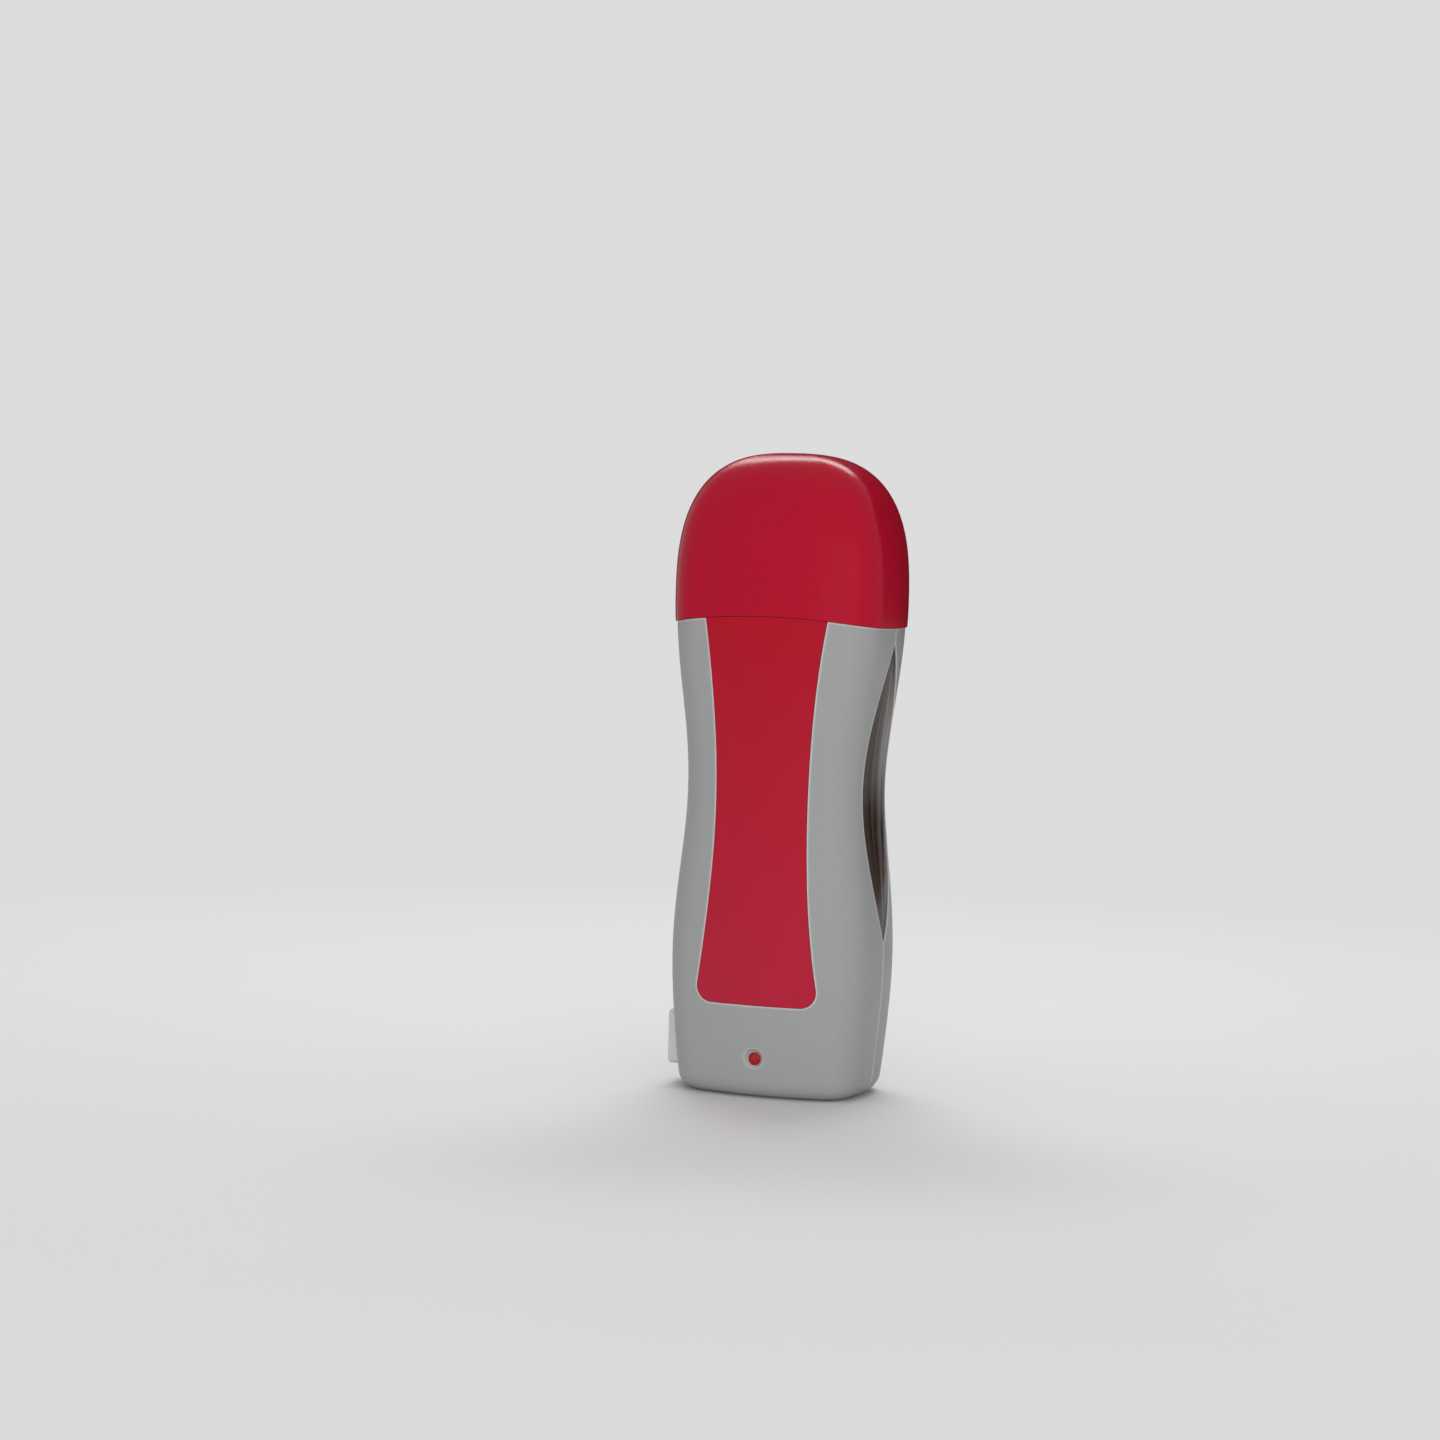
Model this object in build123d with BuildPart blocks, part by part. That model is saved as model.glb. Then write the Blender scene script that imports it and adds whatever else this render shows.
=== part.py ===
from build123d import *
from math import cos, hypot, pi, radians, sin, sqrt
import os

os.makedirs("parts", exist_ok=True)

# A desk-top heater for roll-on wax cartridges: a waisted body in two shells, a domed cap, a red
# front inlay, a viewing window in its right side and a two-pin inlet in its left side.
# Millimetres. +Z is up, the front faces -Y and the window faces +X. The origin is under the middle.

# ---- Wax cartridge, which the whole heater is sized around ----
CARTRIDGE_WIDTH = 50.0
CARTRIDGE_DEPTH = 30.0
CARTRIDGE_HEIGHT = 106.0
CARTRIDGE_CORNER = 7.0
CARTRIDGE_WALL = 1.5
WAX_GAP = 0.1
WAX_HEADROOM = 17.0
HEAD_OVERHANG_X = 3.5
HEAD_OVERHANG_Y = 1.5
HEAD_FLANGE = 3.0
HEAD_PLUG = 3.0
HEAD_HEIGHT = 17.0
HEAD_TAPER = 4.0
HEAD_EDGE = 1.0
HEAD_BLOCK_INSET = 1.8
HEAD_CHEEK = 4.2
HEAD_CHEEK_HEIGHT = 3.6
ROLLER_DIAMETER = 17.0
ROLLER_GAP = 0.3
ROLLER_EDGE = 1.2
TRUNNION_DIAMETER = 4.0
TRUNNION_LENGTH = 2.4
TRUNNION_FIT = 0.05
WAX_SLOT_WIDTH = 5.0
WAX_SLOT_MARGIN = 2.25

# ---- Cartridge well and its neck ----
WELL_FLOOR = 51.5
WELL_GAP = 0.5
WELL_WALL = 1.5
WELL_FLOOR_GAP = 1.5
NECK_DROP = 12.5
NECK_GAP = 0.3
NECK_WALL = 1.6
NECK_PLATE = 2.0
SHELF_RIB_WIDTH = 1.6
SHELF_RIB_X = 18.0
SHELF_RIB_INNER_Y = 8.0
WELL_SLOT_WIDTH = 12.0
WELL_SLOT_MARGIN = 7.25

# ---- Heater stack on each face of the well ----
PLATE_MARGIN = 3.0
PLATE_HEIGHT = 68.0
PLATE_THICKNESS = 1.8
PLATE_GAP = 0.3
PLATE_EDGE_GAP = 0.2
CERAMIC_WIDTH = 28.0
CERAMIC_HEIGHT = 40.0
CERAMIC_THICKNESS = 2.2
MICA_WIDTH = 30.0
MICA_HEIGHT = 40.0
MICA_THICKNESS = 0.5
SPRING_WIDTH = 12.0
SPRING_SPAN = 25.0
SPRING_SHEET = 0.4
SPRING_RISE = 2.3
SPRING_GAP = 0.1
FUSE_DIAMETER = 4.0
FUSE_LENGTH = 10.0
FUSE_PIN_DIAMETER = 1.0
FUSE_PIN_LENGTH = 2.0
FUSE_GAP = 0.1

# ---- Body: the waist is set by what it holds, the rest swells from the waist ----
BELLY_HEIGHT = 45.0
WAIST_HEIGHT = 97.0
SIDE_ROOM = 1.0
SHELL_WALL = 2.2
BASE_WALL = 2.4
BASE_SWELL_X = 0.2
BELLY_SWELL_X = 3.7
SHOULDER_SWELL_X = 5.6
BASE_SWELL_Y = -1.4
BELLY_SWELL_Y = 1.6
SHOULDER_SWELL_Y = 1.2
BODY_SECTIONS = 8
BASE_EDGE_RADIUS = 6.0
LEAST_EDGE_RADIUS = 0.5
FRONT_BOW = 2.6
SIDE_BOW = 2.4
CORNER_SHARE = 0.52

# ---- Cap: a dome whose outline is a superellipse ----
DOME_RISE = 46.5
DOME_DROP = 3.0
DOME_POWER = 2.75
DOME_DEPTH_POWER = 2.9
DOME_ANGLES = (0, 11, 25, 40, 54, 67, 77)
CAP_WALL = 2.0
CAP_PROUD = 0.25
CAP_STOP_WIDTH = 3.0
CAP_STOP_HEIGHT = 9.0
CAP_STOP_GAP = 1.5
SEAM_DROP = 8.0
SEAM_ARCH = 3.0
SEAM_OVERRUN = 10.0
SEAM_GAP = 0.2

# ---- Parting line between the shells ----
PARTING_GAP = 0.25
TONGUE_INSET = 1.2
TONGUE_DEPTH = 1.6
TONGUE_GAP = 0.1
TONGUE_ROOT = 0.1

# ---- Front inlay ----
INLAY_TOP_HALF_WIDTH = 21.8
INLAY_WAIST_HALF_WIDTH = 15.2
INLAY_FOOT_HALF_WIDTH = 20.8
INLAY_BOTTOM = 29.5
INLAY_CORNER = 5.0
INLAY_THICKNESS = 1.2
INLAY_PROUD = 0.35
INLAY_EDGE = 0.3
INLAY_GAP = 0.12

# ---- Side window ----
WINDOW_BOTTOM = 48.0
WINDOW_TOP_DROP = 7.0
WINDOW_FRONT_WIDTH = 11.0
WINDOW_REAR_WIDTH = 16.0
WINDOW_TIP_RADIUS = 1.0
WINDOW_RECESS = 0.45
WINDOW_LEDGE = 1.0
WINDOW_FLANGE = 1.3
WINDOW_GAP = 0.12

# ---- Indicator lamp and control board ----
LAMP_HEIGHT = 12.4
LENS_DIAMETER = 4.0
LENS_GAP = 0.1
LENS_SINK = 1.1
LENS_SINK_ANGLE = 45
LENS_RECESS = 0.5
LENS_CROWN = 0.7
LENS_SEAT = 1.6
LENS_FLANGE = 0.8
LENS_RIM = 1.0
LAMP_DIAMETER = 3.0
LAMP_LENGTH = 3.6
LAMP_ROUNDING = 1.2
LAMP_GAP = 0.3
BOARD_WIDTH = 26.0
BOARD_HEIGHT = 17.0
BOARD_THICKNESS = 1.6
BOARD_POST_X = 9.5
BOARD_POST_DIAMETER = 4.0
TERMINAL_SIZE = (14.0, 5.0, 5.0)
TERMINAL_MARGIN = 1.0
COMPONENT_X = 6.5
COMPONENT_RISE = 3.4
CAPACITOR_DIAMETER = 6.0
CAPACITOR_LENGTH = 7.0
RESISTOR_SIZE = (5.0, 2.5, 3.0)

# ---- Inlet ----
INLET_HEIGHT = 14.75
INLET_Y = 1.0
INLET_PROUD = 5.6
INLET_WIDTH = 16.0
INLET_TALL = 17.5
INLET_CORNER = 2.0
INLET_RIM = 0.8
INLET_LENGTH = 13.0
INLET_GAP = 0.12
INLET_FLANGE = 1.5
INLET_FLANGE_SETBACK = 0.7
SOCKET_DEPTH = 8.6
SOCKET_LOBE = 3.9
SOCKET_WAIST = 6.4
PIN_PITCH = 8.6
PIN_DIAMETER = 2.4
PIN_SETBACK = 1.0
PIN_ROUNDING = 0.7
PIN_TAIL_DIAMETER = 1.8
PIN_TAIL_LENGTH = 2.5

# ---- Screws and leads ----
SCREW_SIDE_DISTANCE = 9.5
SCREW_HEIGHT = 32.0
SCREW_DIAMETER = 2.6
SCREW_BITE = 8.0
SCREW_END_GAP = 1.0
SCREW_HEAD_DIAMETER = 5.4
SCREW_HEAD_HEIGHT = 2.0
SCREW_HEAD_EDGE = 0.8
SCREW_CROSS_LENGTH = 3.2
SCREW_CROSS_WIDTH = 0.8
SCREW_CROSS_DEPTH = 1.1
SCREW_SINK = 6.0
SCREW_GAP = 0.05
SCREW_HEAD_GAP = 0.3
SCREW_BOSS_DIAMETER = 8.6
LEAD_DIAMETER = 1.4
LIVE_BEND_X = -9.0
LIVE_BEND_Y = 6.0
NEUTRAL_BEND_X = -7.0
NEUTRAL_BEND_Y = 7.0
FRONT_LEAD_RISES = (8.0, 20.0)
REAR_LEAD_RISES = (10.0, 18.0)
INLET_LEAD_RADII = (4.0, 4.0)
FRONT_LEAD_RADII = (6.0, 8.0)
REAR_LEAD_RADII = (6.0, 5.0)

# ---- Worked out from the sizes above ----
CARTRIDGE_BOTTOM = WELL_FLOOR + WELL_FLOOR_GAP
NECK_TOP = CARTRIDGE_BOTTOM + CARTRIDGE_HEIGHT
WELL_INNER_WIDTH = CARTRIDGE_WIDTH + 2 * WELL_GAP
WELL_INNER_DEPTH = CARTRIDGE_DEPTH + 2 * WELL_GAP
WELL_WIDTH = WELL_INNER_WIDTH + 2 * WELL_WALL
WELL_DEPTH = WELL_INNER_DEPTH + 2 * WELL_WALL
PLATE_WIDTH = CARTRIDGE_WIDTH - 2 * PLATE_MARGIN
PLATE_FACE = CARTRIDGE_DEPTH / 2 + PLATE_GAP         # distance of each layer from the middle plane
CERAMIC_FACE = PLATE_FACE + PLATE_THICKNESS
MICA_FACE = CERAMIC_FACE + CERAMIC_THICKNESS
SPRING_FACE = MICA_FACE + MICA_THICKNESS
HEAD_WIDTH = CARTRIDGE_WIDTH + 2 * HEAD_OVERHANG_X
HEAD_DEPTH = CARTRIDGE_DEPTH + 2 * HEAD_OVERHANG_Y
ROLLER_LENGTH = HEAD_WIDTH - 2 * (HEAD_BLOCK_INSET + HEAD_CHEEK)
ROLLER_HEIGHT = NECK_TOP + HEAD_FLANGE + HEAD_HEIGHT - HEAD_CHEEK_HEIGHT
SHOULDER_HEIGHT = NECK_TOP
WAIST_HALF_WIDTH = WELL_WIDTH / 2 + SIDE_ROOM + SHELL_WALL
WAIST_HALF_DEPTH = SPRING_FACE + SPRING_RISE + SPRING_GAP + SHELL_WALL
BASE_HALF_WIDTH = WAIST_HALF_WIDTH + BASE_SWELL_X
BELLY_HALF_WIDTH = WAIST_HALF_WIDTH + BELLY_SWELL_X
SHOULDER_HALF_WIDTH = WAIST_HALF_WIDTH + SHOULDER_SWELL_X
BASE_HALF_DEPTH = WAIST_HALF_DEPTH + BASE_SWELL_Y
BELLY_HALF_DEPTH = WAIST_HALF_DEPTH + BELLY_SWELL_Y
SHOULDER_HALF_DEPTH = WAIST_HALF_DEPTH + SHOULDER_SWELL_Y
HALF_WIDTHS = (BASE_HALF_WIDTH, BELLY_HALF_WIDTH, WAIST_HALF_WIDTH, SHOULDER_HALF_WIDTH)
HALF_DEPTHS = (BASE_HALF_DEPTH, BELLY_HALF_DEPTH, WAIST_HALF_DEPTH, SHOULDER_HALF_DEPTH)
DOME_BASE = SHOULDER_HEIGHT - DOME_DROP
HEIGHT = DOME_BASE + DOME_RISE
REACH = 2 * HEIGHT                                   # far outside the object
SEAM_HEIGHT = SHOULDER_HEIGHT - SEAM_DROP
SEAM_RADIUS = (SHOULDER_HALF_WIDTH ** 2 + SEAM_ARCH ** 2) / (2 * SEAM_ARCH)
WINDOW_TOP = SEAM_HEIGHT - WINDOW_TOP_DROP
WINDOW_MIDDLE = (WINDOW_BOTTOM + WINDOW_TOP) / 2
WELL_SLOT_HEIGHT = WINDOW_TOP - WINDOW_BOTTOM - 2 * WELL_SLOT_MARGIN
INLET_FACE = BASE_HALF_WIDTH + INLET_PROUD
SCREW_X = BELLY_HALF_WIDTH - SCREW_SIDE_DISTANCE


def unit_step(start, end, length):
    """The point that lies length away from start, towards end."""
    dx, dy = end[0] - start[0], end[1] - start[1]
    scale_by = length / hypot(dx, dy)
    return start[0] + dx * scale_by, start[1] + dy * scale_by


def outline(height, half_width, half_depth, inset=0.0):
    """A face of eight tangent arcs: bowed front, back and sides, with rounded corners."""
    front_radius = FRONT_BOW * half_width
    side_radius = SIDE_BOW * half_depth
    corner_radius = CORNER_SHARE * half_depth
    front_centre = (0.0, front_radius - half_depth)
    side_centre = (half_width - side_radius, 0.0)
    # The corner's centre lies where circles about the two other centres cross.
    to_front = front_radius - corner_radius
    to_side = side_radius - corner_radius
    apart = hypot(side_centre[0], front_centre[1])
    along = (to_front ** 2 - to_side ** 2 + apart ** 2) / (2 * apart)
    aside = sqrt(to_front ** 2 - along ** 2)
    ux, uy = side_centre[0] / apart, -front_centre[1] / apart
    corner = max(
        ((along * ux - s * aside * uy, front_centre[1] + along * uy + s * aside * ux) for s in (1, -1)),
        key=lambda point: point[0] - point[1],
    )
    fx, fy = unit_step(front_centre, corner, front_radius - inset)
    sx, sy = unit_step(side_centre, corner, side_radius - inset)
    middle = ((fx + sx) / 2, (fy + sy) / 2)
    mx, my = unit_step(corner, middle, corner_radius - inset)
    wide, deep = half_width - inset, half_depth - inset
    with BuildSketch(Plane.XY.offset(height)) as face:
        with BuildLine():
            ThreePointArc((-fx, fy), (0, -deep), (fx, fy))
            ThreePointArc((fx, fy), (mx, my), (sx, sy))
            ThreePointArc((sx, sy), (wide, 0), (sx, -sy))
            ThreePointArc((sx, -sy), (mx, -my), (fx, -fy))
            ThreePointArc((fx, -fy), (0, deep), (-fx, -fy))
            ThreePointArc((-fx, -fy), (-mx, -my), (-sx, -sy))
            ThreePointArc((-sx, -sy), (-wide, 0), (-sx, sy))
            ThreePointArc((-sx, sy), (-mx, my), (-fx, fy))
        make_face()
    return face.sketch.face()


def waisted(height, sizes):
    """A half width or half depth at a height: it swells from base to belly, then follows cosines."""
    base, belly, waist, shoulder = sizes
    if height < BELLY_HEIGHT:
        return base + (belly - base) * sin(pi / 2 * height / BELLY_HEIGHT)
    if height < WAIST_HEIGHT:
        turn = (height - BELLY_HEIGHT) / (WAIST_HEIGHT - BELLY_HEIGHT)
        return waist + (belly - waist) * (1 + cos(pi * turn)) / 2
    turn = (height - WAIST_HEIGHT) / (SHOULDER_HEIGHT - WAIST_HEIGHT)
    return waist + (shoulder - waist) * (1 - cos(pi * turn)) / 2


def body_section(height, inset, proud=0.0):
    """The body's outline at a height."""
    return outline(height, waisted(height, HALF_WIDTHS) + proud, waisted(height, HALF_DEPTHS) + proud, inset)


def body_form(inset, floor):
    """The waisted body, moved in by inset all round, with its bottom at height floor."""
    rise = (SHOULDER_HEIGHT - floor) / (BODY_SECTIONS - 1)
    with BuildPart() as form:
        loft(sections=[body_section(floor + i * rise, inset) for i in range(BODY_SECTIONS)])
        edge_radius = max(BASE_EDGE_RADIUS - inset, LEAST_EDGE_RADIUS)
        fillet(form.edges().group_by(Axis.Z)[0], edge_radius)
    return form.part


def cap_form(inset):
    """The dome of the cap with its skirt below it, moved in by inset along its normals."""
    wide, deep = SHOULDER_HALF_WIDTH + CAP_PROUD, SHOULDER_HALF_DEPTH + CAP_PROUD
    sections = [body_section(SEAM_HEIGHT - 2 * SEAM_ARCH, inset, CAP_PROUD)]
    for angle in DOME_ANGLES:
        c, s = cos(radians(angle)), sin(radians(angle))
        across = c ** (2 - 2 / DOME_POWER) / wide
        upward = s ** (2 - 2 / DOME_POWER) / DOME_RISE
        slope = hypot(across, upward)
        height = DOME_BASE + DOME_RISE * s ** (2 / DOME_POWER) - inset * upward / slope
        width = wide * c ** (2 / DOME_POWER)
        depth = deep * c ** (2 / DOME_DEPTH_POWER)
        sections.append(outline(height, width, depth, inset * across / slope))
    with BuildPart() as form:
        loft(sections=[*sections, Vertex(0, 0, HEIGHT - inset)])
    return form.part


def seam_height(x, rise=0.0):
    """Height of the arched seam between the shells and the cap at a distance from the middle."""
    return SEAM_HEIGHT + rise - SEAM_RADIUS + sqrt(SEAM_RADIUS ** 2 - x ** 2)


def above_seam(rise=0.0):
    """Everything above the seam, as seen from the front."""
    side = SHOULDER_HALF_WIDTH + SEAM_OVERRUN
    with BuildPart() as space:
        with BuildSketch(Plane.XZ):
            with BuildLine():
                seam = ThreePointArc(
                    (-side, seam_height(side, rise)), (0, SEAM_HEIGHT + rise), (side, seam_height(side, rise))
                )
                Polyline(seam @ 1, (side, REACH), (-side, REACH), seam @ 0)
            make_face()
        extrude(amount=REACH, both=True)
    return space.part


def slab(y_from, y_to):
    """Everything between two planes that face front and back."""
    with BuildPart() as space:
        with BuildSketch(Plane.XZ.offset(-y_to)):
            Rectangle(REACH, 2 * REACH)
        extrude(amount=y_to - y_from)
    return space.part


def inlay_prism(grow):
    """The hourglass outline of the inlay, grown all round and run through from front to middle."""
    with BuildPart() as space:
        with BuildSketch(Plane.XZ):
            with BuildLine():
                right = ThreePointArc(
                    (INLAY_FOOT_HALF_WIDTH + grow, INLAY_BOTTOM - grow),
                    (INLAY_WAIST_HALF_WIDTH + grow, WAIST_HEIGHT),
                    (INLAY_TOP_HALF_WIDTH + grow, SHOULDER_HEIGHT),
                )
                left = mirror(right, about=Plane.YZ)
                Line(right @ 1, left.edges()[0] @ 1)
                Line(right @ 0, left.edges()[0] @ 0)
            make_face()
        extrude(amount=REACH)
        low_corners = space.edges().filter_by(Axis.Y).group_by(Axis.Z)[0]
        fillet(low_corners, INLAY_CORNER + grow)
    return space.part


def window_prism(grow):
    """The window's almond outline, wider to the rear, grown all round and run from middle to right."""
    low, high = WINDOW_BOTTOM - 2 * grow, WINDOW_TOP + 2 * grow
    with BuildPart() as space:
        with BuildSketch(Plane.YZ):
            with BuildLine():
                ThreePointArc((0, low), (WINDOW_REAR_WIDTH + grow, WINDOW_MIDDLE), (0, high))
                ThreePointArc((0, high), (-WINDOW_FRONT_WIDTH - grow, WINDOW_MIDDLE), (0, low))
            almond = make_face()
            fillet(almond.vertices(), WINDOW_TIP_RADIUS)
        extrude(amount=REACH)
    return space.part


def inlet_prism(grow, length, face=INLET_FACE):
    """A block with rounded long edges, from the inlet's outer face inwards."""
    with BuildPart() as space:
        with BuildSketch(Plane.YZ.offset(-face)):
            with Locations((INLET_Y, INLET_HEIGHT)):
                RectangleRounded(INLET_WIDTH + 2 * grow, INLET_TALL + 2 * grow, INLET_CORNER + grow)
        extrude(amount=length)
    return space.part


def lead(points, radii):
    """An insulated lead: straight runs joined by tangent arcs."""
    with BuildPart() as wire:
        with BuildLine() as path:
            FilletPolyline(*points, radius=radii)
        start = path.wires()[0] @ 0
        with BuildSketch(Plane(origin=start, z_dir=path.wires()[0] % 0)):
            Circle(LEAD_DIAMETER / 2)
        sweep()
    return wire.part


def front_of(form, height):
    """The Y of a form's frontmost point on the middle line at a height."""
    line = Axis((0, -REACH, height), (0, 1, 0))
    return min(point.Y for point, _ in form.find_intersection_points(line))


def write(part, name):
    part.label = name
    export_step(part, f"parts/{name}.step")


# ---- Shared forms ----
body_skin = body_form(0.0, 0.0)
body_core = body_form(SHELL_WALL, BASE_WALL)
tongue_form = body_form(TONGUE_INSET, TONGUE_INSET)
rebate_form = body_form(TONGUE_INSET - TONGUE_GAP, TONGUE_INSET - TONGUE_GAP)
window_face_form = body_form(WINDOW_RECESS, WINDOW_RECESS)
window_ledge_form = body_form(WINDOW_LEDGE, WINDOW_LEDGE)
window_flange_form = body_form(WINDOW_LEDGE + WINDOW_GAP, WINDOW_LEDGE + WINDOW_GAP)
inlay_face_form = body_form(-INLAY_PROUD, 0.0)
inlay_back_form = body_form(INLAY_THICKNESS - INLAY_PROUD, BASE_WALL)
inlay_pocket_form = body_form(INLAY_THICKNESS - INLAY_PROUD + INLAY_GAP, BASE_WALL)
over_shells = above_seam()
front_half = slab(-REACH, -PARTING_GAP)
rear_half = slab(0.0, REACH)
LAMP_SKIN_Y = front_of(body_skin, LAMP_HEIGHT)
LENS_FRONT_Y = LAMP_SKIN_Y + LENS_RECESS
LENS_BACK_Y = LAMP_SKIN_Y + LENS_SEAT + LENS_FLANGE
BOARD_FRONT_Y = LENS_BACK_Y + LAMP_GAP + LAMP_LENGTH
BOARD_BACK_Y = BOARD_FRONT_Y + BOARD_THICKNESS
LAMP_PLANE = Plane(origin=(0, LAMP_SKIN_Y, LAMP_HEIGHT), x_dir=(1, 0, 0), z_dir=(0, 1, 0))
BOARD_PLANE = Plane(origin=(0, BOARD_FRONT_Y, LAMP_HEIGHT), x_dir=(1, 0, 0), z_dir=(0, 1, 0))

# ---- Both shells in one: a hollow body with the window and inlet openings ----
with BuildPart() as shell_pair:
    add(body_skin)
    add(body_core, mode=Mode.SUBTRACT)
    add(over_shells, mode=Mode.SUBTRACT)
    add(window_prism(0.0), mode=Mode.SUBTRACT)
    add(inlet_prism(INLET_GAP, INLET_LENGTH), mode=Mode.SUBTRACT)

with BuildPart() as window_rebate:
    add(window_prism(WINDOW_FLANGE))
    add(window_ledge_form, mode=Mode.INTERSECT)

with BuildPart() as shelf_ribs:
    with BuildSketch(Plane.XY):
        with Locations((-SHELF_RIB_X, 0), (SHELF_RIB_X, 0)):
            Rectangle(SHELF_RIB_WIDTH, REACH)
            Rectangle(SHELF_RIB_WIDTH, 2 * SHELF_RIB_INNER_Y, mode=Mode.SUBTRACT)
    extrude(amount=WELL_FLOOR - WELL_WALL)
    add(body_core, mode=Mode.INTERSECT)

# ---- Front shell ----
with BuildPart() as front_bosses:
    with BuildSketch(Plane.XZ.offset(PARTING_GAP)):
        with Locations((-SCREW_X, SCREW_HEIGHT), (SCREW_X, SCREW_HEIGHT)):
            Circle(SCREW_BOSS_DIAMETER / 2)
    extrude(amount=REACH)
    with BuildSketch(Plane.XZ.offset(-BOARD_FRONT_Y)):
        with Locations((-BOARD_POST_X, LAMP_HEIGHT), (BOARD_POST_X, LAMP_HEIGHT)):
            Circle(BOARD_POST_DIAMETER / 2)
    extrude(amount=REACH)
    add(body_core, mode=Mode.INTERSECT)

with BuildPart() as front_rebate:
    add(rebate_form)
    add(slab(-TONGUE_DEPTH - TONGUE_GAP, 0.0), mode=Mode.INTERSECT)

with BuildPart() as front_shell:
    add(shell_pair.part)
    add(front_rebate.part, mode=Mode.SUBTRACT)
    add(shelf_ribs.part)
    add(front_half, mode=Mode.INTERSECT)
    add(front_bosses.part)
    add(window_rebate.part, mode=Mode.SUBTRACT)
    with BuildSketch(Plane.XZ):
        with Locations((-SCREW_X, SCREW_HEIGHT), (SCREW_X, SCREW_HEIGHT)):
            Circle(SCREW_DIAMETER / 2 + SCREW_GAP)
    extrude(amount=SCREW_BITE + SCREW_END_GAP, mode=Mode.SUBTRACT)
    with BuildSketch(LAMP_PLANE.offset(-LENS_SINK)):
        Circle(LENS_DIAMETER / 2 + LENS_GAP)
    extrude(amount=LENS_SINK + LENS_SEAT, mode=Mode.SUBTRACT)
    with BuildSketch(LAMP_PLANE.offset(LENS_SEAT)):
        Circle(LENS_DIAMETER / 2 + LENS_RIM + LENS_GAP)
    extrude(amount=SHELL_WALL, mode=Mode.SUBTRACT)
    with BuildSketch(LAMP_PLANE.offset(LENS_SINK)):
        Circle(LENS_DIAMETER / 2 + LENS_GAP)
    extrude(amount=-2 * LENS_SINK, taper=-LENS_SINK_ANGLE, mode=Mode.SUBTRACT)
with BuildPart() as inlay_pocket:
    add(inlay_prism(INLAY_GAP))
    add(inlay_pocket_form, mode=Mode.SUBTRACT)
with BuildPart() as front_shell_finished:
    add(front_shell.part)
    add(inlay_pocket.part, mode=Mode.SUBTRACT)
write(front_shell_finished.part, "front_shell")

# ---- Rear shell ----
with BuildPart() as tongue:
    add(tongue_form)
    add(body_core, mode=Mode.SUBTRACT)
    add(slab(-TONGUE_DEPTH, TONGUE_ROOT), mode=Mode.INTERSECT)
    add(over_shells, mode=Mode.SUBTRACT)
    add(window_prism(WINDOW_FLANGE), mode=Mode.SUBTRACT)
    add(inlet_prism(INLET_GAP, INLET_LENGTH), mode=Mode.SUBTRACT)

SCREW_SEAT_Y = BELLY_HALF_DEPTH - SCREW_SINK - SCREW_HEAD_HEIGHT
with BuildPart() as rear_bosses:
    with BuildSketch(Plane.XZ):
        with Locations((-SCREW_X, SCREW_HEIGHT), (SCREW_X, SCREW_HEIGHT)):
            Circle(SCREW_BOSS_DIAMETER / 2)
    extrude(amount=-REACH)
    add(body_core, mode=Mode.INTERSECT)

with BuildPart() as rear_shell:
    add(shell_pair.part)
    add(shelf_ribs.part)
    add(rear_half, mode=Mode.INTERSECT)
    add(tongue.part)
    add(rear_bosses.part)
    add(window_rebate.part, mode=Mode.SUBTRACT)
    with BuildSketch(Plane.XZ):
        with Locations((-SCREW_X, SCREW_HEIGHT), (SCREW_X, SCREW_HEIGHT)):
            Circle(SCREW_DIAMETER / 2 + SCREW_GAP)
    extrude(amount=-REACH, mode=Mode.SUBTRACT)
    with BuildSketch(Plane.XZ.offset(-SCREW_SEAT_Y)):
        with Locations((-SCREW_X, SCREW_HEIGHT), (SCREW_X, SCREW_HEIGHT)):
            Circle(SCREW_HEAD_DIAMETER / 2 + SCREW_HEAD_GAP)
    extrude(amount=-REACH, mode=Mode.SUBTRACT)
write(rear_shell.part, "rear_shell")

# ---- Red inlay on the front ----
with BuildPart() as front_inlay:
    add(inlay_prism(0.0))
    add(inlay_face_form, mode=Mode.INTERSECT)
    add(inlay_back_form, mode=Mode.SUBTRACT)
    add(over_shells, mode=Mode.SUBTRACT)
    outer_face = front_inlay.faces().sort_by(SortBy.AREA)[-2:].sort_by(Axis.Y)[0]
    edges_below_seam = outer_face.edges().sort_by(Axis.Z)[:-1]
    fillet(edges_below_seam, INLAY_EDGE)
write(front_inlay.part, "front_inlay")

# ---- Smoked window on the right ----
with BuildPart() as side_window:
    add(window_prism(-WINDOW_GAP))
    add(window_face_form, mode=Mode.INTERSECT)
    add(body_core, mode=Mode.SUBTRACT)
with BuildPart() as window_flange:
    add(window_prism(WINDOW_FLANGE - WINDOW_GAP))
    add(window_flange_form, mode=Mode.INTERSECT)
    add(body_core, mode=Mode.SUBTRACT)
with BuildPart() as window_whole:
    add(side_window.part)
    add(window_flange.part)
write(window_whole.part, "side_window")

# ---- Cap ----
with BuildPart() as cap_stops:
    with BuildSketch(Plane.XY.offset(NECK_TOP)):
        with Locations((-SHOULDER_HALF_WIDTH, 0), (SHOULDER_HALF_WIDTH, 0)):
            Rectangle(2 * (SHOULDER_HALF_WIDTH - HEAD_WIDTH / 2 - CAP_STOP_GAP), CAP_STOP_WIDTH)
    extrude(amount=CAP_STOP_HEIGHT)
    add(cap_form(CAP_WALL), mode=Mode.INTERSECT)

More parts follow.
